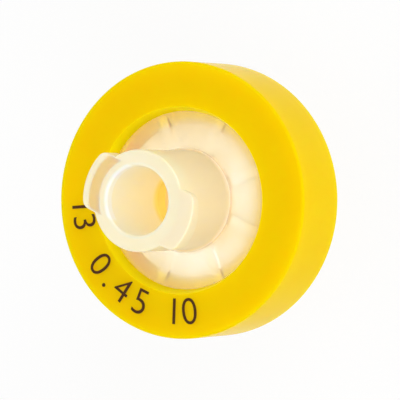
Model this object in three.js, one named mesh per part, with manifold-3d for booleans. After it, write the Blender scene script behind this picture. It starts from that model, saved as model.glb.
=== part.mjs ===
// A 13 mm disc filter for syringes: two luer housings with a membrane clamped between their
// rims, held together by a ring moulded over the stack. Millimetres, +Z up, inlet on top.
// The origin is the centre of the outlet tip's end face.
import * as THREE from 'three';
import { mergeVertices } from 'three/addons/utils/BufferGeometryUtils.js';
import Module from 'manifold-3d';

const wasm = await Module();
wasm.setup();

// ---- driving dimensions --------------------------------------------------------------
const roundSteps = 72;          // sides of every turned shape

// membrane and the clamped stack
const membraneRadius = 6.5;
const membraneThickness = 0.18;
const membraneClearance = 0.1;  // radial, in its seat
const clampWidth = 0.6;         // how much of the membrane's edge the rims hold
const rimWidth = 1.1;           // of both housings, outside the membrane's seat
const inletPlate = 1.0;         // wall thickness over the chamber
const outletPlate = 1.0;
const inletChannel = 0.5;       // height of the gap over the membrane
const ceilingSlope = 1.0;       // width of the edge where its ceiling comes down to the membrane
const outletChannel = 0.45;     // height of the gap under it

// ring
const ringClearance = 0.05;     // radial, around the housings' rims
const ringWall = 1.06;          // outside the rims, at the inlet side
const ringDraft = 0.13;         // how much wider the ring is at the outlet side
const ringLip = 0.88;           // thickness of the lips over the rims
const lipReach = 0.21;          // how far a lip reaches in past the chamber's wall
const bevelWidth = 0.27;        // of a lip's sloping inner edge
const ringEdge = 0.16;          // rounding of the outer edges

// luer taper, 6 % on the diameter
const luerTaper = 0.03;         // on the radius, for each unit of length

// inlet: luer socket with two lock lugs
const socketMouthRadius = 2.135;
const socketLength = 6.04;      // above the plate
const socketWall = 0.995;       // at the mouth
const socketDraft = 0.04;       // how much the wall's outside grows down to its root
const socketRoot = 0.3;         // fillet where it meets the plate
const mouthChamfer = 0.1;
const boreFootChamfer = 0.08;   // where the bore opens into the chamber
const lugReach = 0.77;          // outside the socket's wall
const lugWidth = 3.7;           // between a lug's straight ends
const lugCorner = 0.6;          // rounding of their outer corners
const lugStart = 0.5;           // thickness at the thin end
const threadLead = 5;           // rise of the lug's underside for a full turn

// ribs under the inlet plate and rings on the outlet plate
const ribCount = 8;
const ribWidth = 0.75;
const ribStart = 0.55;          // from the edge of the bore to a rib's inner end
const supportRingCount = 3;
const supportRingWidth = 0.6;
const drainWidth = 0.8;

// outlet: boss and male luer tip
const tipLength = 7.8;
const tipEndRadius = 1.975;
const tipBoreRadius = 1.0;
const tipChamfer = 0.2;
const bossStep = 0.79;          // outside the tip's root
const bossHeight = 2.0;         // below the plate
const bossFillet = 0.25;
const boreFunnel = 0.4;         // where the chamber drains into the tip

// ---- levels and radii worked out from them ----------------------------------------------
const outletPlateUnder = tipLength + bossHeight;
const ringBottom = outletPlateUnder - ringLip;
const drainFloor = outletPlateUnder + outletPlate;
const membraneUnder = drainFloor + outletChannel;
const membraneTop = membraneUnder + membraneThickness;
const chamberCeiling = membraneTop + inletChannel;
const inletPlateTop = chamberCeiling + inletPlate;
const ringTop = inletPlateTop + ringLip;
const socketEnd = inletPlateTop + socketLength;
const chamberRadius = membraneRadius - clampWidth;
const seatRadius = membraneRadius + membraneClearance;
const flangeRadius = seatRadius + rimWidth;
const ringInside = flangeRadius + ringClearance;
const ringFrontRadius = ringInside + ringWall;
const ringRearRadius = ringFrontRadius + ringDraft;
const windowRadius = chamberRadius - lipReach;
const socketEndRadius = socketMouthRadius + socketWall;
const socketRootRadius = socketEndRadius + socketDraft;
const lugRadius = socketEndRadius + lugReach;
const boreFoot = chamberCeiling + boreFootChamfer;
const boreRadiusAt = (z) => socketMouthRadius - luerTaper * (socketEnd - z);
const boreOpening = boreRadiusAt(boreFoot) + boreFootChamfer;
const tipRadiusAt = (z) => tipEndRadius + luerTaper * z;
const bossRadius = tipRadiusAt(tipLength) + bossStep;
const drainOpening = tipBoreRadius + boreFunnel;

// ---- materials -------------------------------------------------------------------------
const plastic = (color, roughness) => new THREE.MeshStandardMaterial({ color, roughness, metalness: 0 });
const naturalPlastic = plastic(0xf6e4c0, 0.35);
const yellowPlastic = plastic(0xf3c900, 0.3);
const membraneWhite = plastic(0xf7f4ea, 0.8);

// ---- helpers ---------------------------------------------------------------------------
// Points on a quarter of a circle or a part of one, from one angle to another in degrees.
function arc(centreR, centreZ, radius, from, to, steps = 4) {
  return Array.from({ length: steps + 1 }, (_, i) => {
    const a = THREE.MathUtils.degToRad(from + ((to - from) * i) / steps);
    return [centreR + radius * Math.cos(a), centreZ + radius * Math.sin(a)];
  });
}

// A solid of revolution about Z. The outline is a list of [radius, height], anticlockwise
// when the radius points right and the height up. It closes on itself, or on the axis.
function turned(outline) {
  const points = outline.map(([r, z]) => new THREE.Vector2(r, z));
  const onAxis = outline[0][0] === 0;
  if (!onAxis) points.push(points[0].clone());
  return new THREE.LatheGeometry(points, roundSteps).rotateX(Math.PI / 2);
}

function solid(geometry) {
  const weldDistance = 1e-5;
  const bare = geometry.clone();
  bare.deleteAttribute('normal');
  bare.deleteAttribute('uv');
  const merged = mergeVertices(bare, weldDistance);
  const vertProperties = new Float32Array(merged.attributes.position.array);
  const triVerts = new Uint32Array(merged.index.array);
  return new wasm.Manifold(new wasm.Mesh({ numProp: 3, vertProperties, triVerts }));
}

function geometryOf(manifold) {
  const { vertProperties, triVerts } = manifold.getMesh();
  const geometry = new THREE.BufferGeometry();
  geometry.setAttribute('position', new THREE.BufferAttribute(vertProperties, 3));
  geometry.setIndex(new THREE.BufferAttribute(triVerts, 1));
  geometry.computeVertexNormals();
  return geometry;
}

function piece(name, geometry, material) {
  const mesh = new THREE.Mesh(geometry, material);
  mesh.name = name;
  return mesh;
}

// A bar along a radius, between two heights, turned to its place.
function radialBar(fromR, toR, width, bottom, top, angle) {
  const bar = new THREE.BoxGeometry(toR - fromR, width, top - bottom);
  bar.translate((fromR + toR) / 2, 0, (bottom + top) / 2);
  return solid(bar.rotateZ(angle));
}

// ---- inlet housing -----------------------------------------------------------------------
// A lock lug: its ends are parallel, its top is flush with the socket's end, and its underside
// follows the right-hand lead of a luer lock. It reaches into the socket's wall.
function lockLug(direction) {
  const half = lugWidth / 2;
  const root = socketMouthRadius + socketWall / 2;
  const rootTurn = Math.asin(half / root);
  const cornerY = half - lugCorner;
  const cornerX = Math.sqrt((lugRadius - lugCorner) ** 2 - cornerY ** 2);
  const cornerTurn = Math.atan2(cornerY, cornerX);  // where a corner ends on the outside
  const outline = new THREE.Shape();
  outline.moveTo(root * Math.cos(rootTurn), -half);
  outline.lineTo(cornerX, -half);
  outline.absarc(cornerX, -cornerY, lugCorner, -Math.PI / 2, -cornerTurn, false);
  outline.absarc(0, 0, lugRadius, -cornerTurn, cornerTurn, false);
  outline.absarc(cornerX, cornerY, lugCorner, cornerTurn, Math.PI / 2, false);
  outline.lineTo(root * Math.cos(rootTurn), half);
  outline.absarc(0, 0, root, rootTurn, -rootTurn, true);
  const lug = new THREE.ExtrudeGeometry(outline, { depth: 1, bevelEnabled: false, curveSegments: 5 });
  const place = lug.attributes.position;  // extruded from 0 up, then each end gets its height
  const thinEnd = Math.asin(half / socketEndRadius);
  for (let i = 0; i < place.count; i++) {
    const angle = Math.atan2(place.getY(i), place.getX(i));
    const thickness = lugStart + (threadLead * (thinEnd - angle)) / (2 * Math.PI);
    place.setZ(i, place.getZ(i) > 0 ? socketEnd : socketEnd - thickness);
  }
  return solid(lug.rotateZ(direction));
}

function inletHousing() {
  const body = turned([
    [boreOpening, chamberCeiling],
    [chamberRadius - ceilingSlope, chamberCeiling],
    [chamberRadius, membraneTop],
    [flangeRadius, membraneTop],
    [flangeRadius, inletPlateTop],
    [socketRootRadius + socketRoot, inletPlateTop],
    ...arc(socketRootRadius + socketRoot, inletPlateTop + socketRoot, socketRoot, 270, 180).slice(1),
    [socketEndRadius, socketEnd],
    [socketMouthRadius + mouthChamfer, socketEnd],
    [boreRadiusAt(socketEnd - mouthChamfer), socketEnd - mouthChamfer],
    [boreRadiusAt(boreFoot), boreFoot],
  ]);
  let housing = solid(body).add(lockLug(0)).add(lockLug(Math.PI));
  const ribTop = chamberCeiling + inletPlate / 2;  // sunk into the plate and the rim
  const ribEnd = chamberRadius + clampWidth / 2;
  for (let i = 0; i < ribCount; i++) {
    const angle = (2 * Math.PI * i) / ribCount;
    housing = housing.add(radialBar(boreOpening + ribStart, ribEnd, ribWidth, membraneTop, ribTop, angle));
  }
  return piece('inlet_housing', geometryOf(housing), naturalPlastic);
}

// ---- outlet housing ----------------------------------------------------------------------
// Rings that hold the membrane up, evenly spaced from the drain to the chamber's wall and cut
// by radial drains that lie between the inlet ribs.
function supportRings() {
  const ringFoot = drainFloor - outletPlate / 2;  // sunk into the plate
  const gap = (chamberRadius - drainOpening - supportRingCount * supportRingWidth) / (supportRingCount + 1);
  const ring = (i) => {
    const inner = drainOpening + gap + i * (supportRingWidth + gap);
    const outer = inner + supportRingWidth;
    return solid(turned([
      [inner, ringFoot],
      [outer, ringFoot],
      [outer, membraneUnder],
      [inner, membraneUnder],
    ]));
  };
  let rings = ring(0);
  for (let i = 1; i < supportRingCount; i++) rings = rings.add(ring(i));
  const cutTop = membraneUnder + outletChannel;
  for (let i = 0; i < ribCount / 2; i++) {
    const angle = (2 * Math.PI * (i + 0.5)) / ribCount;
    rings = rings.subtract(radialBar(-chamberRadius, chamberRadius, drainWidth, drainFloor, cutTop, angle));
  }
  return rings;
}

function outletHousing() {
  const body = turned([
    [tipBoreRadius, 0],
    [tipEndRadius - tipChamfer, 0],
    [tipRadiusAt(tipChamfer), tipChamfer],
    [tipRadiusAt(tipLength), tipLength],
    [bossRadius - bossFillet, tipLength],
    ...arc(bossRadius - bossFillet, tipLength + bossFillet, bossFillet, 270, 360).slice(1),
    [bossRadius, outletPlateUnder],
    [flangeRadius, outletPlateUnder],
    [flangeRadius, membraneTop],
    [seatRadius, membraneTop],
    [seatRadius, membraneUnder],
    [chamberRadius, membraneUnder],
    [chamberRadius, drainFloor],
    [drainOpening, drainFloor],
    [tipBoreRadius, drainFloor - boreFunnel],
  ]);
  return piece('outlet_housing', geometryOf(solid(body).add(supportRings())), naturalPlastic);
}

// ---- membrane and ring ---------------------------------------------------------------------
function membrane() {
  const disc = turned([
    [0, membraneUnder],
    [membraneRadius, membraneUnder],
    [membraneRadius, membraneTop],
    [0, membraneTop],
  ]);
  return piece('membrane', geometryOf(solid(disc)), membraneWhite);
}

function overmouldRing() {
  const bevelTop = windowRadius + bevelWidth;
  const ring = turned([
    [ringInside, outletPlateUnder],
    [windowRadius, outletPlateUnder],
    [bevelTop, ringBottom],
    ...arc(ringRearRadius - ringEdge, ringBottom + ringEdge, ringEdge, 270, 360),
    ...arc(ringFrontRadius - ringEdge, ringTop - ringEdge, ringEdge, 0, 90),
    [bevelTop, ringTop],
    [windowRadius, inletPlateTop],
    [ringInside, inletPlateTop],
  ]);
  return piece('overmould_ring', geometryOf(solid(ring)), yellowPlastic);
}

const filter = new THREE.Group();
filter.name = 'syringe_filter';
filter.add(inletHousing(), membrane(), outletHousing(), overmouldRing());

export default filter;
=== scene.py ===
import math

import bmesh
import bpy
from mathutils import Matrix, Vector


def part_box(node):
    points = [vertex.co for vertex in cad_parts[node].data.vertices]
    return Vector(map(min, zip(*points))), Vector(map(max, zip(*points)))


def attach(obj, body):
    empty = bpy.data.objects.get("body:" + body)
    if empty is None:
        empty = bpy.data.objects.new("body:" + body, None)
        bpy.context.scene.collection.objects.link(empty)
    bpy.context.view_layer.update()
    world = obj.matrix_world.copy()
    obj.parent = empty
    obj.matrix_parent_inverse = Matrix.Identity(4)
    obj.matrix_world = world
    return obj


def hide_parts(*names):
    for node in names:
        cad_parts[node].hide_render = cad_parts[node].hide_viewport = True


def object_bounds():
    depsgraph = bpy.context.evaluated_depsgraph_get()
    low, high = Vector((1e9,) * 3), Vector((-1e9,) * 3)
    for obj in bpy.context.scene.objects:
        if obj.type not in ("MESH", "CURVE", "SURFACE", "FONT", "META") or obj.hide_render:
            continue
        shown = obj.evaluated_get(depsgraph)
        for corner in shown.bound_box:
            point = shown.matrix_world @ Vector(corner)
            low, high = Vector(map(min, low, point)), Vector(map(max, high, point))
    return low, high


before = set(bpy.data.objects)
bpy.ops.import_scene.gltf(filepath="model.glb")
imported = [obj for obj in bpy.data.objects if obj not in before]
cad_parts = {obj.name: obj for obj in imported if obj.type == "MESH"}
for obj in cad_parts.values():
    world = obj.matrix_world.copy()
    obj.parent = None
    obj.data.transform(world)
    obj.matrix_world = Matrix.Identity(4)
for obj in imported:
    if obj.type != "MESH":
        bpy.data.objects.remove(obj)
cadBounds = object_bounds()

mm = 0.001  # every size below is in millimetres, and turns are in degrees


# levels and radii that the frame gives
def lowest(node):
    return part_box(node)[0].z / mm


def highest(node):
    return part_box(node)[1].z / mm


def radius(node):
    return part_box(node)[1].x / mm


socketEnd = highest("inlet_housing")
tipEnd = lowest("outlet_housing")
flangeRadius = radius("outlet_housing")
membraneTop = highest("membrane")
membraneUnder = lowest("membrane")
membraneRadius = radius("membrane")
ringTop = highest("overmould_ring")
ringBottom = lowest("overmould_ring")
ringRearRadius = radius("overmould_ring")

# what both housings and the ring go by
stack = {
    "socketMouth": 2.135,  # radius of the bore at the socket's end
    "socketWall": 0.995,
    "seam": 0.005,  # between surfaces that touch
    "lip": 0.88,  # thickness of the ring's lips over the plates
    "plate": 1.0,  # thickness of both plates
    "windowRadius": 5.69,
    "bevel": 0.27,  # by which a lip's edge slopes back
    "chamberRadius": 5.9,
    "ribCount": 8,
}
seam = stack["seam"]
lipRadius = stack["windowRadius"] + stack["bevel"]
socketMouth = stack["socketMouth"]
socketRadius = socketMouth + stack["socketWall"]
chamberRadius = stack["chamberRadius"]
inletPlateTop = ringTop - stack["lip"]
outletPlateUnder = ringBottom + stack["lip"]
chamberCeiling = inletPlateTop - stack["plate"]
drainFloor = outletPlateUnder + stack["plate"]


def link(name, mesh):
    thing = bpy.data.objects.new(name, mesh)
    bpy.context.scene.collection.objects.link(thing)
    return thing


# a polyline of (radius, height, rounding), each corner with a rounding above 0 made an arc
def rounded(corners, steps=6):
    outline = []
    for i, (r, z, size) in enumerate(corners):
        corner = Vector((r, z))
        if size == 0:
            outline.append(corner)
            continue
        back = (Vector(corners[i - 1][:2]) - corner).normalized()
        ahead = (Vector(corners[(i + 1) % len(corners)][:2]) - corner).normalized()
        half = back.angle(ahead) / 2
        centre = corner + (back + ahead).normalized() * size / math.sin(half)
        start = corner + back * size / math.tan(half) - centre
        sweep = start.angle_signed(corner + ahead * size / math.tan(half) - centre)
        for k in range(steps + 1):
            outline.append(centre + Matrix.Rotation(-sweep * k / steps, 2) @ start)
    return outline


# a solid turned about the axis; the outline runs anticlockwise, radius to the right
def turned(name, outline, finish, steps=240):
    places, rings, faces = [], [], []
    for r, z in outline:
        count = 1 if r == 0 else steps
        rings.append([len(places) + i % count for i in range(steps)])
        for i in range(count):
            turn = 2 * math.pi * i / steps
            places.append((r * mm * math.cos(turn), r * mm * math.sin(turn), z * mm))
    for lower, upper in zip(rings, rings[1:] + rings[:1]):
        for i in range(steps):
            j = (i + 1) % steps
            face = list(dict.fromkeys([lower[i], lower[j], upper[j], upper[i]]))
            if len(face) > 2:
                faces.append(face)
    mesh = bpy.data.meshes.new(name)
    mesh.from_pydata(places, [], faces)
    mesh.materials.append(finish)
    return link(name, mesh)


# bakes the modifiers of a thing into its mesh
def plain(thing):
    view = bpy.context.evaluated_depsgraph_get()
    mesh = bpy.data.meshes.new_from_object(thing.evaluated_get(view))
    thing.modifiers.clear()
    thing.data = mesh
    mesh.name = thing.name


def smoothed(thing, sharpFrom=32):
    thing.data.shade_smooth()
    thing.data.set_sharp_from_angle(angle=math.radians(sharpFrom))
    even = thing.modifiers.new("even", "WEIGHTED_NORMAL")
    even.keep_sharp = True
    even.weight = 60
    plain(thing)


def addNode(tree, kind, **values):
    made = tree.nodes.new(kind)
    for name, value in values.items():
        setattr(made, name, value)
    return made


# Geometry Nodes: copies of one element round the axis, united with a body
def uniteRoundAxis():
    tree = bpy.data.node_groups.new("uniteRoundAxis", "GeometryNodeTree")
    sockets = {
        "Body": "NodeSocketGeometry",
        "Element": "NodeSocketObject",
        "Count": "NodeSocketInt",
        "First turn": "NodeSocketFloat",
        "Finish": "NodeSocketMaterial",
    }
    for name, kind in sockets.items():
        tree.interface.new_socket(name, in_out="INPUT", socket_type=kind)
    tree.interface.new_socket("United", in_out="OUTPUT", socket_type="NodeSocketGeometry")
    given = addNode(tree, "NodeGroupInput").outputs
    result = addNode(tree, "NodeGroupOutput").inputs
    index = addNode(tree, "GeometryNodeInputIndex")
    step = addNode(tree, "ShaderNodeMath", operation="DIVIDE")
    turn = addNode(tree, "ShaderNodeMath", operation="MULTIPLY_ADD")
    spin = addNode(tree, "ShaderNodeCombineXYZ")
    rotation = addNode(tree, "FunctionNodeEulerToRotation")
    points = addNode(tree, "GeometryNodePoints")
    element = addNode(tree, "GeometryNodeObjectInfo")
    copies = addNode(tree, "GeometryNodeInstanceOnPoints")
    real = addNode(tree, "GeometryNodeRealizeInstances")
    union = addNode(tree, "GeometryNodeMeshBoolean", operation="UNION", solver="MANIFOLD")
    whole = addNode(tree, "GeometryNodeRealizeInstances")
    coated = addNode(tree, "GeometryNodeSetMaterial")
    step.inputs[0].default_value = 2 * math.pi
    join = tree.links.new
    join(given["Count"], points.inputs["Count"])
    join(given["Count"], step.inputs[1])
    join(index.outputs["Index"], turn.inputs[0])
    join(step.outputs[0], turn.inputs[1])
    join(given["First turn"], turn.inputs[2])
    join(turn.outputs[0], spin.inputs["Z"])
    join(spin.outputs["Vector"], rotation.inputs["Euler"])
    join(given["Element"], element.inputs["Object"])
    join(points.outputs["Points"], copies.inputs["Points"])
    join(element.outputs["Geometry"], copies.inputs["Instance"])
    join(rotation.outputs["Rotation"], copies.inputs["Rotation"])
    join(copies.outputs["Instances"], real.inputs["Geometry"])
    join(given["Body"], union.inputs["Mesh 2"])
    join(real.outputs["Geometry"], union.inputs["Mesh 2"])
    join(union.outputs["Mesh"], whole.inputs["Geometry"])
    join(whole.outputs["Geometry"], coated.inputs["Geometry"])
    join(given["Finish"], coated.inputs["Material"])
    join(coated.outputs["Geometry"], result["United"])
    return tree


uniteTree = uniteRoundAxis()


def unite(body, element, count, firstTurn, finish):
    maker = body.modifiers.new("unite", "NODES")
    maker.node_group = uniteTree
    values = {
        "Element": element,
        "Count": count,
        "First turn": math.radians(firstTurn),
        "Finish": finish,
    }
    for socket in uniteTree.interface.items_tree:
        if socket.in_out == "INPUT" and socket.name in values:
            maker[socket.identifier] = values[socket.name]
    plain(body)
    bpy.data.objects.remove(element)


# a closed solid over a plan outline, whose lower and upper heights may vary along it
def slab(name, plan, under, over):
    count = len(plan)
    places = [(x * mm, y * mm, under(x, y) * mm) for x, y in plan]
    places += [(x * mm, y * mm, over(x, y) * mm) for x, y in plan]
    faces = [list(range(count))[::-1], list(range(count, 2 * count))]
    for i in range(count):
        j = (i + 1) % count
        faces.append([i, j, count + j, count + i])
    mesh = bpy.data.meshes.new(name)
    mesh.from_pydata(places, [], faces)
    return link(name, mesh)


def bevelled(thing, size, steps, wanted):
    work = bmesh.new()
    work.from_mesh(thing.data)
    edges = [e for e in work.edges if wanted(e)]
    bmesh.ops.bevel(
        work, geom=edges, offset=size * mm, segments=steps, profile=0.5, affect="EDGES",
        clamp_overlap=True,
    )
    work.to_mesh(thing.data)
    work.free()


def shader(name):
    material = bpy.data.materials.new(name)
    material.use_nodes = True
    return material, material.node_tree, material.node_tree.nodes["Principled BSDF"]


# a noise on the piece's own coordinates, in features of a size in millimetres
def grain(tree, size, detail=2.0, roughness=0.5, shift=0):
    place = addNode(tree, "ShaderNodeTexCoord")
    mapping = addNode(tree, "ShaderNodeMapping")
    mapping.inputs["Location"].default_value = (shift * mm, 0, 0)
    noise = addNode(tree, "ShaderNodeTexNoise")
    noise.inputs["Scale"].default_value = 1 / (size * mm)
    noise.inputs["Detail"].default_value = detail
    noise.inputs["Roughness"].default_value = roughness
    tree.links.new(place.outputs["Object"], mapping.inputs["Vector"])
    tree.links.new(mapping.outputs["Vector"], noise.inputs["Vector"])
    return noise.outputs["Fac"]


noiseRange = (0.3, 0.7)  # most of a noise's values are in it


def between(tree, source, low, high):
    spread = addNode(tree, "ShaderNodeMapRange")
    spread.inputs["From Min"].default_value = noiseRange[0]
    spread.inputs["From Max"].default_value = noiseRange[1]
    spread.inputs["To Min"].default_value = low
    spread.inputs["To Max"].default_value = high
    tree.links.new(source, spread.inputs["Value"])
    return spread.outputs["Result"]


# a colour or an output into a socket
def feed(tree, value, socket):
    if isinstance(value, tuple):
        socket.default_value = (*value, 1)
    elif isinstance(value, (int, float)):
        socket.default_value = value
    else:
        tree.links.new(value, socket)


def mixColours(tree, share, low, high):
    mix = addNode(tree, "ShaderNodeMix", data_type="RGBA")
    colours = [s for s in mix.inputs if s.type == "RGBA"]
    feed(tree, low, colours[0])
    feed(tree, high, colours[1])
    feed(tree, share, mix.inputs["Factor"])
    return [s for s in mix.outputs if s.type == "RGBA"][0]


def maths(tree, operation, a, b, c=0):
    step = addNode(tree, "ShaderNodeMath", operation=operation)
    feed(tree, a, step.inputs[0])
    feed(tree, b, step.inputs[1])
    feed(tree, c, step.inputs[2])
    return step.outputs[0]


def product(tree, factors):
    whole = factors[0]
    for factor in factors[1:]:
        whole = maths(tree, "MULTIPLY", whole, factor)
    return whole


# 0 at the first end and before it, 1 at the second and past it, smooth between; both are from a level
def ramp(tree, source, ends, level=0):
    slope = addNode(tree, "ShaderNodeMapRange", interpolation_type="SMOOTHSTEP")
    slope.inputs["From Min"].default_value = (level + ends[0]) * mm
    slope.inputs["From Max"].default_value = (level + ends[1]) * mm
    tree.links.new(source, slope.inputs["Value"])
    return slope.outputs["Result"]


# height, distance from the axis, place along the line through both lugs and distance from it
def whereabouts(tree):
    place = addNode(tree, "ShaderNodeTexCoord")
    axes = addNode(tree, "ShaderNodeSeparateXYZ")
    flat = addNode(tree, "ShaderNodeCombineXYZ")
    distance = addNode(tree, "ShaderNodeVectorMath", operation="LENGTH")
    tree.links.new(place.outputs["Object"], axes.inputs["Vector"])
    tree.links.new(axes.outputs["X"], flat.inputs["X"])
    tree.links.new(axes.outputs["Y"], flat.inputs["Y"])
    tree.links.new(flat.outputs["Vector"], distance.inputs[0])
    aside = maths(tree, "ABSOLUTE", axes.outputs["Y"], 0)
    return axes.outputs["Z"], distance.outputs["Value"], axes.outputs["X"], aside


# lets a share of the lamps' light through a material, tinted
def passLamps(tree, bsdf, tint, amount):
    through = addNode(tree, "ShaderNodeBsdfTransparent")
    through.inputs["Color"].default_value = (*tint, 1)
    rays = addNode(tree, "ShaderNodeLightPath")
    mix = addNode(tree, "ShaderNodeMixShader")
    tree.links.new(maths(tree, "MULTIPLY", rays.outputs["Is Shadow Ray"], amount), mix.inputs[0])
    tree.links.new(bsdf.outputs["BSDF"], mix.inputs[1])
    tree.links.new(through.outputs["BSDF"], mix.inputs[2])
    tree.links.new(mix.outputs[0], tree.nodes["Material Output"].inputs["Surface"])


def bump(tree, source, height):
    relief = addNode(tree, "ShaderNodeBump")
    relief.inputs["Distance"].default_value = height * mm
    relief.inputs["Strength"].default_value = 1.0
    tree.links.new(source, relief.inputs["Height"])
    return relief.outputs["Normal"]


refraction = 1.49  # of polypropylene, natural or yellow

naturalLook = {
    "colour": (0.99, 0.85, 0.625),
    "colourDeep": (0.985, 0.825, 0.57),
    "paintedSideBounce": (0.99, 0.795, 0.54),  # painted yellow light bounced from the ring, lower down the socket
    "paintedLugShade": (0.99, 0.81, 0.58),  # painted shade on the lug whose thin end faces the view
    # painted shade in the bore
    "paintedBoreShade": (0.925, 0.858, 0.67),
    "paintedMouthLight": (0.985, 0.95, 0.85),  # painted light in the bore, level with the lugs, where a lug shows through the wall
    "paintedFootGlow": (0.99, 0.78, 0.22),  # painted glow where light gathers at the foot of the bore
    "colourThin": (0.99, 0.99, 0.99),  # of the plates, in blotches with the next
    "colourBlotch": (0.9, 0.825, 0.66),
    "paintedRimShade": (0.9, 0.78, 0.53),  # painted shade and yellow light on the plates towards the ring
    "paintedEndGlow": (0.99, 0.87, 0.05),  # painted yellow light from the ring at the chamber's end
    "clearThin": 0.98,  # share of the light that goes through a plate
    "clearThick": 0.05,  # and through the walls that stand on the plates
    "plateFrost": 0.075,  # roughness on top of the flow marks
    "lugFrost": 0.17,  # more of it on the socket
    "bandFrost": 0.3,  # and more in the clear band of one lug
    "bandShare": 0.95,  # how much of the cloudiness is missing in that band
    "smooth": 0.07,
    "rough": 0.12,
    "coat": 0.25,
    "coatRough": 0.08,
    "scatter": (0.2, 0.19, 0.13),  # how far light spreads inside, in mm
    "lampTint": (0.99, 0.96, 0.87),
    "lampShare": 0.97,  # of a lamp's light that gets in
    "wave": 2.6,  # size of the flow marks
    "blotch": 3.5,
    "blotchShift": 173,
    "skin": 0.35,  # size of the surface's fine waviness
    "skinHeight": 0.004,
}
# where one finish of the natural plastic, or one of its painted lights and shades, passes into the
# next: lengths at none and all of it
naturalZones = {
    "wall": (-0.05, 0.12),  # out of a plate's face
    "underSocket": (0.1, -0.1),  # from the socket's radius
    "lugAside": (1.9, 1.7),  # from the line through both lugs
    "bandAlong": (1, -1),  # on that line
    "bandHeight": (-0.3, -0.2),  # from the socket's end
    "bandInner": (2.6, 2.8),  # from the axis
    "bandOuter": (3.55, 3.35),
    "bore": (0.3, 0.1),  # from the bore's radius at its mouth
    "foot": (0.75, 0.15),  # over the inlet plate
    "mouthAlong": (0.5, -1),
    "mouthHeight": (-0.6, -0.45),  # from the socket's end
    "rim": (4.4, 5.7),  # from the axis
    "endRadius": (-1.0, -0.5),  # from the chamber's radius
    "endHeight": (0.1, 0),  # over the chamber's ceiling
    "side": (-0.3, -2),  # from the socket's end
    "lugAlong": (1, 2),
    "lugRadius": (-0.4, 0),  # from the socket's radius
}


def naturalMasks(tree):
    zone = naturalZones
    height, distance, along, aside = whereabouts(tree)
    above = ramp(tree, height, zone["wall"], inletPlateTop)
    below = ramp(tree, height, [-end for end in zone["wall"]], outletPlateUnder)
    underSocket = ramp(tree, distance, zone["underSocket"], socketRadius)
    standing = maths(tree, "MAXIMUM", maths(tree, "MAXIMUM", above, below), underSocket)
    overLug = ramp(tree, aside, zone["lugAside"])
    cleared = product(tree, [
        overLug,
        ramp(tree, along, zone["bandAlong"]),
        ramp(tree, height, zone["bandHeight"], socketEnd),
        ramp(tree, distance, zone["bandInner"]),
        ramp(tree, distance, zone["bandOuter"]),
        naturalLook["bandShare"],
    ])
    inBore = ramp(tree, distance, zone["bore"], socketMouth)
    atFoot = product(tree, [
        ramp(tree, height, zone["foot"], inletPlateTop),
        ramp(tree, height, (membraneUnder, membraneTop)),
        inBore,
    ])
    atMouth = product(tree, [
        overLug,
        inBore,
        ramp(tree, along, zone["mouthAlong"]),
        ramp(tree, height, zone["mouthHeight"], socketEnd),
    ])
    atEnd = product(tree, [
        ramp(tree, distance, zone["endRadius"], chamberRadius),
        ramp(tree, height, zone["endHeight"], chamberCeiling),
    ])
    atSide = ramp(tree, height, zone["side"], socketEnd)
    onLug = product(tree, [
        overLug,
        ramp(tree, along, zone["lugAlong"]),
        ramp(tree, distance, zone["lugRadius"], socketRadius),
        maths(tree, "SUBTRACT", 1, atSide),
    ])
    return {
        "above": above,
        "cleared": cleared,
        "thick": product(tree, [standing, maths(tree, "SUBTRACT", 1, cleared)]),
        "inBore": inBore,
        "atFoot": atFoot,
        "atMouth": atMouth,
        "atRim": ramp(tree, distance, zone["rim"]),
        "atEnd": atEnd,
        "atSide": atSide,
        "onLug": onLug,
    }


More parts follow.
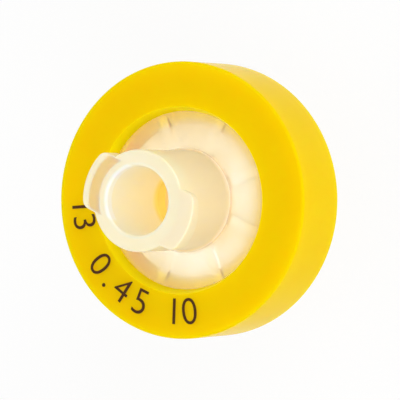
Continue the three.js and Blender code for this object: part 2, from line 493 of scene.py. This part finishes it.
def naturalPlastic():
    look = naturalLook
    material, tree, bsdf = shader("naturalPolypropylene")
    masks = naturalMasks(tree)
    flow = grain(tree, look["wave"], detail=3.0)
    skin = grain(tree, look["skin"], detail=3.0)
    blotches = grain(tree, look["blotch"], detail=1.0, shift=look["blotchShift"])
    blotches = between(tree, blotches, 0, 1)
    thin = mixColours(tree, blotches, look["colourThin"], look["colourBlotch"])
    # painted shade and yellow light towards the ring
    thin = mixColours(tree, masks["atRim"], thin, look["paintedRimShade"])
    # painted yellow light from the ring at the chamber's end
    thin = mixColours(tree, masks["atEnd"], thin, look["paintedEndGlow"])
    cloudy = mixColours(tree, between(tree, flow, 0, 1), look["colour"], look["colourDeep"])
    # painted yellow bounce light from the ring, lower down the socket
    cloudy = mixColours(tree, masks["atSide"], cloudy, look["paintedSideBounce"])
    # painted shade on one lug
    cloudy = mixColours(tree, masks["onLug"], cloudy, look["paintedLugShade"])
    # painted shade in the bore
    cloudy = mixColours(tree, masks["inBore"], cloudy, look["paintedBoreShade"])
    # painted light in the bore mouth, level with the lugs
    cloudy = mixColours(tree, masks["atMouth"], cloudy, look["paintedMouthLight"])
    plastic = mixColours(tree, masks["thick"], thin, cloudy)
    # painted glow at the foot of the bore
    plastic = mixColours(tree, masks["atFoot"], plastic, look["paintedFootGlow"])
    frost = maths(tree, "MULTIPLY_ADD", masks["above"], look["lugFrost"], look["plateFrost"])
    frost = maths(tree, "MULTIPLY_ADD", masks["cleared"], look["bandFrost"], frost)
    polish = between(tree, flow, look["smooth"], look["rough"])
    clear = addNode(tree, "ShaderNodeMapRange")
    clear.inputs["To Min"].default_value = look["clearThin"]
    clear.inputs["To Max"].default_value = look["clearThick"]
    tree.links.new(masks["thick"], clear.inputs["Value"])
    inside = addNode(tree, "ShaderNodeNewGeometry")
    passing = maths(tree, "MAXIMUM", inside.outputs["Backfacing"], clear.outputs["Result"])
    sockets = bsdf.inputs
    tree.links.new(plastic, sockets["Base Color"])
    tree.links.new(maths(tree, "ADD", polish, frost), sockets["Roughness"])
    tree.links.new(bump(tree, skin, look["skinHeight"]), sockets["Normal"])
    tree.links.new(passing, sockets["Transmission Weight"])
    sockets["IOR"].default_value = refraction
    sockets["Subsurface Weight"].default_value = 1.0
    sockets["Subsurface Radius"].default_value = look["scatter"]
    sockets["Subsurface Scale"].default_value = mm
    sockets["Coat Weight"].default_value = look["coat"]
    sockets["Coat Roughness"].default_value = look["coatRough"]
    passLamps(tree, bsdf, look["lampTint"], look["lampShare"])
    return material


yellowLook = {
    "colour": (0.885, 0.575, 0.002),
    "colourDeep": (0.865, 0.55, 0.001),
    "paintedEdgeGlow": (0.97, 0.69, 0.003),  # painted glow where the lips' edges let light through
    "edge": (0.04, -0.03),  # from the lips' radius, at none and all of that
    "smooth": 0.2,
    "rough": 0.26,
    "gloss": 0.02,
    "glossTint": (1, 0.75, 0.02),
    "scatter": (3.0, 1.9, 0.08),  # how far light spreads inside, in mm
    "scatterShare": 0.8,
    "lampTint": (1.0, 0.9, 0.25),
    "lampShare": 0.95,  # of a lamp's light that gets in
    "wave": 4.0,
    "skin": 0.3,
    "skinHeight": 0.003,
}


def yellowPlastic():
    look = yellowLook
    material, tree, bsdf = shader("yellowPolypropylene")
    flow = grain(tree, look["wave"], detail=3.0)
    skin = grain(tree, look["skin"], detail=3.0)
    sockets = bsdf.inputs
    plastic = mixColours(tree, between(tree, flow, 0, 1), look["colour"], look["colourDeep"])
    edge = ramp(tree, whereabouts(tree)[1], look["edge"], lipRadius)
    # painted glow on the lips' edges
    tree.links.new(mixColours(tree, edge, plastic, look["paintedEdgeGlow"]), sockets["Base Color"])
    tree.links.new(between(tree, flow, look["smooth"], look["rough"]), sockets["Roughness"])
    tree.links.new(bump(tree, skin, look["skinHeight"]), sockets["Normal"])
    sockets["IOR"].default_value = refraction
    sockets["Specular IOR Level"].default_value = look["gloss"]
    sockets["Specular Tint"].default_value = (*look["glossTint"], 1)
    sockets["Subsurface Weight"].default_value = look["scatterShare"]
    sockets["Subsurface Radius"].default_value = look["scatter"]
    sockets["Subsurface Scale"].default_value = mm
    passLamps(tree, bsdf, look["lampTint"], look["lampShare"])
    return material


nylonLook = {
    "colour": (0.94, 0.955, 0.96),
    "colourDeep": (0.91, 0.92, 0.92),
    "paintedBoreShade": (0.95, 0.76, 0.38),  # painted shade, warmed by yellow light, under the bore
    "bore": (0.7, 0.4),  # from the bore's radius at its mouth, at none and all of that
    "paintedRingGlow": (0.99, 0.95, 0.15),  # painted yellow light from the ring, next to it
    "nearRing": (-0.5, -0.2),  # from the chamber's radius
    "smooth": 0.75,
    "rough": 0.95,
    "gloss": 0.2,
    "cloud": 1.4,  # size of its uneven patches
    "pore": 0.06,
    "poreHeight": 0.02,
}


def nylon():
    look = nylonLook
    material, tree, bsdf = shader("nylonMembrane")
    pores = grain(tree, look["pore"], detail=4.0, roughness=0.7)
    cloud = grain(tree, look["cloud"])
    sockets = bsdf.inputs
    fabric = mixColours(tree, between(tree, cloud, 0, 1), look["colour"], look["colourDeep"])
    distance = whereabouts(tree)[1]
    underBore = ramp(tree, distance, look["bore"], socketMouth)
    nearRing = ramp(tree, distance, look["nearRing"], chamberRadius)
    # painted shade, warmed by yellow light, under the bore
    fabric = mixColours(tree, underBore, fabric, look["paintedBoreShade"])
    # painted yellow light from the ring on the membrane's rim
    fabric = mixColours(tree, nearRing, fabric, look["paintedRingGlow"])
    tree.links.new(fabric, sockets["Base Color"])
    tree.links.new(between(tree, pores, look["smooth"], look["rough"]), sockets["Roughness"])
    tree.links.new(bump(tree, pores, look["poreHeight"]), sockets["Normal"])
    sockets["Specular IOR Level"].default_value = look["gloss"]
    return material


inkLook = {
    "colour": (0.055, 0.02, 0.004),
    "colourDeep": (0.075, 0.03, 0.006),
    "smooth": 0.4,
    "rough": 0.6,
    "gloss": 0.1,
    "speckle": 0.08,
    "speckleHeight": 0.003,
}


def printInk():
    look = inkLook
    material, tree, bsdf = shader("printInk")
    speckle = grain(tree, look["speckle"], detail=3.0, roughness=0.6)
    sockets = bsdf.inputs
    paint = mixColours(tree, between(tree, speckle, 0, 1), look["colour"], look["colourDeep"])
    tree.links.new(paint, sockets["Base Color"])
    tree.links.new(between(tree, speckle, look["smooth"], look["rough"]), sockets["Roughness"])
    tree.links.new(bump(tree, speckle, look["speckleHeight"]), sockets["Normal"])
    sockets["Specular IOR Level"].default_value = look["gloss"]
    return material


natural = naturalPlastic()
yellow = yellowPlastic()
white = nylon()
ink = printInk()
print("materials made")


# the ring moulded over the rims
ring = {
    "clearance": 0.05,  # round the rims
    "draft": 0.13,  # narrower in front than behind
    "edge": 0.16,
    "innerEdge": 0.05,
    "lipEdge": 0.02,
}


def makeRing():
    inside = flangeRadius + ring["clearance"]
    front = ringRearRadius - ring["draft"]
    window = stack["windowRadius"]
    under = outletPlateUnder - seam
    over = inletPlateTop + seam
    outline = rounded([
        (inside, under, 0),
        (window, under, ring["lipEdge"]),
        (lipRadius, ringBottom, ring["innerEdge"]),
        (ringRearRadius, ringBottom, ring["edge"]),
        (front, ringTop, ring["edge"]),
        (lipRadius, ringTop, ring["innerEdge"]),
        (window, over, ring["lipEdge"]),
        (inside, over, 0),
    ])
    thing = turned("overmouldRing", outline, yellow)
    smoothed(thing)
    return thing


# the inlet housing: a socket with two lock lugs, a plate and its ribs
inlet = {
    "taper": 0.03,  # of the bore's radius, for each unit of length
    "draft": 0.04,
    "root": 0.3,  # fillet at the plate
    "mouthEdge": 0.16,
    "outerEdge": 0.12,
    "footChamfer": 0.08,
    "footEdge": 0.03,
    "ceilingSlope": 1.0,  # width of the edge where the chamber's ceiling comes down
    "slopeEdge": 0.1,
    "rimEdge": 0.05,
}
lug = {
    "reach": 0.77,
    "width": 3.7,  # between its straight ends
    "corner": 0.6,
    "start": 0.5,  # thickness at the thin end
    "lead": 5,  # rise of the underside for a full turn
    "sink": 0.002,  # of its top under the socket's end
    "edge": 0.22,
    "edgeSteps": 4,
    "steps": 8,  # of each arc in its plan
}
rib = {
    "width": 0.75,
    "start": 0.55,  # from the bore's edge to the rib's inner end
    "edge": 0.06,
    "edgeSteps": 3,
}
boreFoot = chamberCeiling + inlet["footChamfer"]


def boreRadius(height):
    return socketMouth - inlet["taper"] * (socketEnd - height)


boreOpening = boreRadius(boreFoot) + inlet["footChamfer"]


def polar(distance, turn):
    return Vector((distance * math.cos(turn), distance * math.sin(turn)))


def lockLug():
    half = lug["width"] / 2
    outer = socketRadius + lug["reach"]
    root = socketMouth + stack["socketWall"] / 2
    corner = lug["corner"]
    middle = Vector((math.sqrt((outer - corner) ** 2 - (half - corner) ** 2), half - corner))
    flat = math.atan2(middle.y, middle.x)  # where the corner starts on the outside
    steps = lug["steps"]
    upper = [polar(outer, flat * k / steps) for k in range(steps)]
    turns = [flat + (math.pi / 2 - flat) * k / steps for k in range(steps + 1)]
    upper += [middle + polar(corner, turn) for turn in turns]
    rootEnd = len(upper)
    upper += [polar(root, math.asin(half / root) * k / steps) for k in range(steps, -1, -1)]
    plan = upper + [Vector((p.x, -p.y)) for p in upper[-2:0:-1]]
    count = len(plan)
    sunk = range(rootEnd, count - rootEnd + 1)  # corners inside the socket's wall
    top = socketEnd - lug["sink"]
    thinEnd = math.asin(half / socketRadius)

    def under(x, y):
        return top - lug["start"] - lug["lead"] * (thinEnd - math.atan2(y, x)) / (2 * math.pi)

    def outside(edge):
        a, b = (v.index for v in edge.verts)
        level = (a < count) == (b < count)
        return level and a % count not in sunk and b % count not in sunk

    thing = slab("lug", plan, under, lambda x, y: top)
    bevelled(thing, lug["edge"], lug["edgeSteps"], outside)
    return thing


def radialBar(name, start, end, width, under, over):
    plan = [(start, -width / 2), (end, -width / 2), (end, width / 2), (start, width / 2)]
    return slab(name, plan, lambda x, y: under, lambda x, y: over)


def inletRib():
    start = boreOpening + rib["start"]
    end = (chamberRadius + membraneRadius) / 2
    sunk = chamberCeiling + stack["plate"] / 2
    thing = radialBar("rib", start, end, rib["width"], membraneTop + seam, sunk)

    def low(edge):
        return all(v.co.z < (membraneTop + 2 * seam) * mm for v in edge.verts)

    bevelled(thing, rib["edge"], rib["edgeSteps"], low)
    return thing


def makeInlet():
    root = socketRadius + inlet["draft"]
    outline = rounded([
        (boreOpening, chamberCeiling, inlet["footEdge"]),
        (chamberRadius - inlet["ceilingSlope"], chamberCeiling, inlet["slopeEdge"]),
        (chamberRadius, membraneTop + seam, inlet["rimEdge"]),
        (flangeRadius, membraneTop + seam, inlet["rimEdge"]),
        (flangeRadius, inletPlateTop, inlet["rimEdge"]),
        (root, inletPlateTop, inlet["root"]),
        (socketRadius, socketEnd, inlet["outerEdge"]),
        (socketMouth, socketEnd, inlet["mouthEdge"]),
        (boreRadius(boreFoot), boreFoot, inlet["footEdge"]),
    ])
    thing = turned("inletHousing", outline, natural)
    unite(thing, lockLug(), 2, 0, natural)
    unite(thing, inletRib(), stack["ribCount"], 0, natural)
    smoothed(thing)
    return thing


# the outlet housing: a plate with support arcs, a boss and the luer tip
outlet = {
    "tipLength": 7.8,
    "tipRadius": 1.975,
    "taper": 0.03,
    "boreRadius": 1.0,
    "boreEdge": 0.08,
    "tipEdge": 0.2,
    "tipRoot": 0.12,  # fillet at the boss
    "bossStep": 0.79,
    "bossEdge": 0.25,
    "bossRoot": 0.2,  # fillet at the plate
    "rimEdge": 0.05,
    "seatGap": 0.1,  # round the membrane
    "seatEdge": 0.04,
    "shelfEdge": 0.05,
    "drainEdge": 0.08,
    "funnel": 0.4,
    "funnelEdge": 0.1,
    "arcCount": 3,
    "arcWidth": 0.6,
    "drain": 0.8,
    "arcEdge": 0.05,
    "arcEdgeSteps": 2,
    "arcSteps": 10,  # along the innermost arc
    "moreSteps": 8,  # for each arc further out
}
drainOpening = outlet["boreRadius"] + outlet["funnel"]


# three arcs between two drains, closed solids in one mesh
def supportArcs():
    taken = outlet["arcCount"] * outlet["arcWidth"]
    gap = (chamberRadius - drainOpening - taken) / (outlet["arcCount"] + 1)
    span = 2 * math.pi / stack["ribCount"]
    foot = drainFloor - stack["plate"] / 2
    parts = []

    def high(edge):
        return all(v.co.z > drainFloor * mm for v in edge.verts)

    for i in range(outlet["arcCount"]):
        inner = drainOpening + gap + i * (outlet["arcWidth"] + gap)
        plan = []
        for distance, order in ((inner, -1), (inner + outlet["arcWidth"], 1)):
            edge = math.asin(outlet["drain"] / 2 / distance)
            steps = outlet["arcSteps"] + outlet["moreSteps"] * i
            turns = [edge + (span - 2 * edge) * k / steps for k in range(steps + 1)]
            plan += [polar(distance, t) for t in turns[::order]]
        thing = slab("arc", plan, lambda x, y: foot, lambda x, y: membraneUnder - seam)
        bevelled(thing, outlet["arcEdge"], outlet["arcEdgeSteps"], high)
        parts.append(thing)
    return joined(parts)


def joined(parts):
    work = bmesh.new()
    for part in parts:
        work.from_mesh(part.data)
    work.to_mesh(parts[0].data)
    work.free()
    for part in parts[1:]:
        bpy.data.objects.remove(part)
    return parts[0]


def makeOutlet():
    tipRoot = outlet["tipRadius"] + outlet["taper"] * outlet["tipLength"]
    boss = tipRoot + outlet["bossStep"]
    seat = membraneRadius + outlet["seatGap"]
    shelf = membraneUnder - seam
    outline = rounded([
        (outlet["boreRadius"], tipEnd, outlet["boreEdge"]),
        (outlet["tipRadius"], tipEnd, outlet["tipEdge"]),
        (tipRoot, outlet["tipLength"], outlet["tipRoot"]),
        (boss, outlet["tipLength"], outlet["bossEdge"]),
        (boss, outletPlateUnder, outlet["bossRoot"]),
        (flangeRadius, outletPlateUnder, outlet["rimEdge"]),
        (flangeRadius, membraneTop - seam, outlet["rimEdge"]),
        (seat, membraneTop - seam, outlet["seatEdge"]),
        (seat, shelf, 0),
        (chamberRadius, shelf, outlet["shelfEdge"]),
        (chamberRadius, drainFloor, outlet["drainEdge"]),
        (drainOpening, drainFloor, outlet["funnelEdge"]),
        (outlet["boreRadius"], drainFloor - outlet["funnel"], outlet["funnelEdge"]),
    ])
    thing = turned("outletHousing", outline, natural)
    unite(thing, supportArcs(), stack["ribCount"], 180 / stack["ribCount"], natural)
    smoothed(thing)
    return thing


# the membrane, a thin disc
membrane = {
    "edge": 0.04,
    "edgeSteps": 3,
}


def makeMembrane():
    outline = rounded([
        (0, membraneUnder, 0),
        (membraneRadius, membraneUnder, membrane["edge"]),
        (membraneRadius, membraneTop, membrane["edge"]),
        (0, membraneTop, 0),
    ], steps=membrane["edgeSteps"])
    thing = turned("membraneDisc", outline, white)
    smoothed(thing)
    return thing


# the print on the ring's face: plain numbers for the membrane's width, pore size and volume
mark = {
    "words": ["13", "0.45", "10"],
    "height": 1.62,  # of a digit
    "foot": 7.9,  # radius that the digits stand on, with their tops towards the axis
    "start": -154,
    "end": -55,
    "digitGap": 0.32,
    "wordGap": 1.3,
    "thickness": 0.012,
    "middle": 0.6,  # height of the ink's middle over the ring, as a share of its thickness
    "thin": 0.02,  # taken off the strokes all round
    "curveSteps": 6,
    "weld": 1e-7,  # in metres, between corners that are one
}


def glyph(letter, size):
    text = bpy.data.curves.new("glyph", "FONT")
    text.body = letter
    text.size = size * mm
    text.extrude = mark["thickness"] / 2 * mm
    text.offset = -mark["thin"] * mm
    text.resolution_u = mark["curveSteps"]
    thing = link("glyph", text)
    view = bpy.context.evaluated_depsgraph_get()
    mesh = bpy.data.meshes.new_from_object(thing.evaluated_get(view))
    bpy.data.objects.remove(thing)
    return mesh


def makePrint():
    probe = glyph("0", 1)
    digitHeight = (max(v.co.y for v in probe.vertices) - min(v.co.y for v in probe.vertices)) / mm
    size = mark["height"] / digitHeight
    work = bmesh.new()
    path = 0
    glyphs = []
    for word in mark["words"]:
        for letter in word:
            mesh = glyph(letter, size)
            left = min(v.co.x for v in mesh.vertices) / mm
            right = max(v.co.x for v in mesh.vertices) / mm
            glyphs.append((mesh, left, path))
            path += right - left + mark["digitGap"]
        path += mark["wordGap"]
    length = path - mark["wordGap"] - mark["digitGap"]
    room = math.radians(mark["end"] - mark["start"]) * mark["foot"]
    level = ringTop + mark["thickness"] * mark["middle"]
    for mesh, left, path in glyphs:
        width = max(v.co.x for v in mesh.vertices) / mm - left
        turn = math.radians(mark["start"]) + (path + width / 2) * room / length / mark["foot"]
        toMiddle = Matrix.Translation((-(left + width / 2) * mm, 0, 0))
        foot = Matrix.Translation((0, -mark["foot"] * mm, level * mm))
        around = Matrix.Rotation(turn + math.pi / 2, 4, "Z")
        mesh.transform(around @ foot @ toMiddle)
        work.from_mesh(mesh)
    bmesh.ops.remove_doubles(work, verts=work.verts, dist=mark["weld"])
    mesh = bpy.data.meshes.new("printedNumbers")
    work.to_mesh(mesh)
    work.free()
    mesh.materials.clear()
    mesh.materials.append(ink)
    for face in mesh.polygons:
        face.material_index = 0
    return link("printedNumbers", mesh)


pieces = {
    "overmould_ring": (makeRing(), "yellow_plastic"),
    "inlet_housing": (makeInlet(), "natural_plastic"),
    "outlet_housing": (makeOutlet(), "natural_plastic"),
    "membrane": (makeMembrane(), "membrane"),
}
for node, (thing, slot) in pieces.items():
    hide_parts(node)
    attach(thing, "root")
    print(thing.name, "made,", len(thing.data.polygons), "faces")
printed = makePrint()
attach(printed, "root")
print("print made")


# the studio: floor, lamps and world
studio = {
    "floorRadius": 3.0,  # in metres
    "floorSides": 64,
    "floorColour": (0.9, 0.9, 0.9),
    "floorRough": 0.9,
    "floorGloss": 0.1,
    "floorGlow": 0.88,  # share of plain white in the floor
    "worldLight": 0.48,
    "lamps": {  # azimuth, elevation, distance, size and light on a surface that faces it
        "key": (160, 33, 0.5, 0.4, 0.39),
        "fill": (64, 33, 0.5, 0.4, 0.37),
        "front": (100, 72, 0.5, 0.4, 0.1),
        "back": (-60, 40, 0.5, 0.4, 0.2),
    },
}


def aroundPart(azimuth, elevation, distance):
    a, e = math.radians(azimuth), math.radians(elevation)
    return distance * Vector((math.sin(a) * math.cos(e), -math.cos(a) * math.cos(e), math.sin(e)))


# 1 where a ray from the camera, or one that a shiny or clear surface sends on, arrives
def seenRays(tree):
    rays = addNode(tree, "ShaderNodeLightPath").outputs
    either = maths(tree, "MAXIMUM", rays["Is Camera Ray"], rays["Is Glossy Ray"])
    return maths(tree, "MAXIMUM", either, rays["Is Transmission Ray"])


def makeFloor():
    sides = studio["floorSides"]
    mesh = bpy.data.meshes.new("floor")
    rim = [polar(studio["floorRadius"], 2 * math.pi * i / sides) for i in range(sides)]
    mesh.from_pydata([(p.x, p.y, tipEnd * mm) for p in rim], [], [list(range(sides))])
    material, tree, bsdf = shader("floorWhite")
    bsdf.inputs["Base Color"].default_value = (*studio["floorColour"], 1)
    bsdf.inputs["Roughness"].default_value = studio["floorRough"]
    bsdf.inputs["Specular IOR Level"].default_value = studio["floorGloss"]
    glow = addNode(tree, "ShaderNodeEmission")
    glow.inputs["Color"].default_value = (1, 1, 1, 1)
    glow.inputs["Strength"].default_value = 1.0
    mix = addNode(tree, "ShaderNodeMixShader")
    share = maths(tree, "MULTIPLY", seenRays(tree), studio["floorGlow"])
    tree.links.new(share, mix.inputs[0])
    tree.links.new(bsdf.outputs["BSDF"], mix.inputs[1])
    tree.links.new(glow.outputs["Emission"], mix.inputs[2])
    tree.links.new(mix.outputs[0], tree.nodes["Material Output"].inputs["Surface"])
    mesh.materials.append(material)
    link("floor", mesh)


def makeWorld():
    world = bpy.data.worlds.new("studioWhite")
    bpy.context.scene.world = world
    world.use_nodes = True
    tree = world.node_tree
    background = tree.nodes["Background"]
    background.inputs["Color"].default_value = (1, 1, 1, 1)
    level = addNode(tree, "ShaderNodeMapRange")
    level.inputs["To Min"].default_value = studio["worldLight"]
    level.inputs["To Max"].default_value = 1.0
    tree.links.new(seenRays(tree), level.inputs["Value"])
    tree.links.new(level.outputs["Result"], background.inputs["Strength"])


def makeLamps():
    centre = (cadBounds[0] + cadBounds[1]) / 2
    for name, (azimuth, elevation, distance, size, light) in studio["lamps"].items():
        lamp = bpy.data.lights.new(name, "AREA")
        lamp.shape = "DISK"
        lamp.size = size
        lamp.energy = light * (math.pi * distance) ** 2
        holder = link(name, lamp)
        away = aroundPart(azimuth, elevation, distance)
        holder.location = centre + away
        holder.rotation_euler = away.to_track_quat("Z", "Y").to_euler()
        holder.visible_camera = False


# the camera
view = {
    "azimuth": 114.22,
    "elevation": 61.77,
    "roll": -90.82,
    "distance": 119.24,
    "aim": (1.463, 0.649, 13.81),
    "lens": 170.26,
    "sensor": 36,
    "near": 0.005,  # in metres, as the next
    "far": 20,
}


def makeCamera():
    camera = bpy.data.cameras.new("camera")
    camera.lens = view["lens"]
    camera.sensor_width = view["sensor"]
    camera.clip_start = view["near"]
    camera.clip_end = view["far"]
    holder = link("camera", camera)
    away = aroundPart(view["azimuth"], view["elevation"], view["distance"] * mm)
    holder.location = Vector(view["aim"]) * mm + away
    turn = away.to_track_quat("Z", "Y").to_matrix().to_4x4()
    holder.rotation_euler = (turn @ Matrix.Rotation(math.radians(view["roll"]), 4, "Z")).to_euler()
    bpy.context.scene.camera = holder


makeFloor()
makeWorld()
makeLamps()
makeCamera()
bpy.context.scene.view_settings.view_transform = "Standard"
print("studio and camera made")
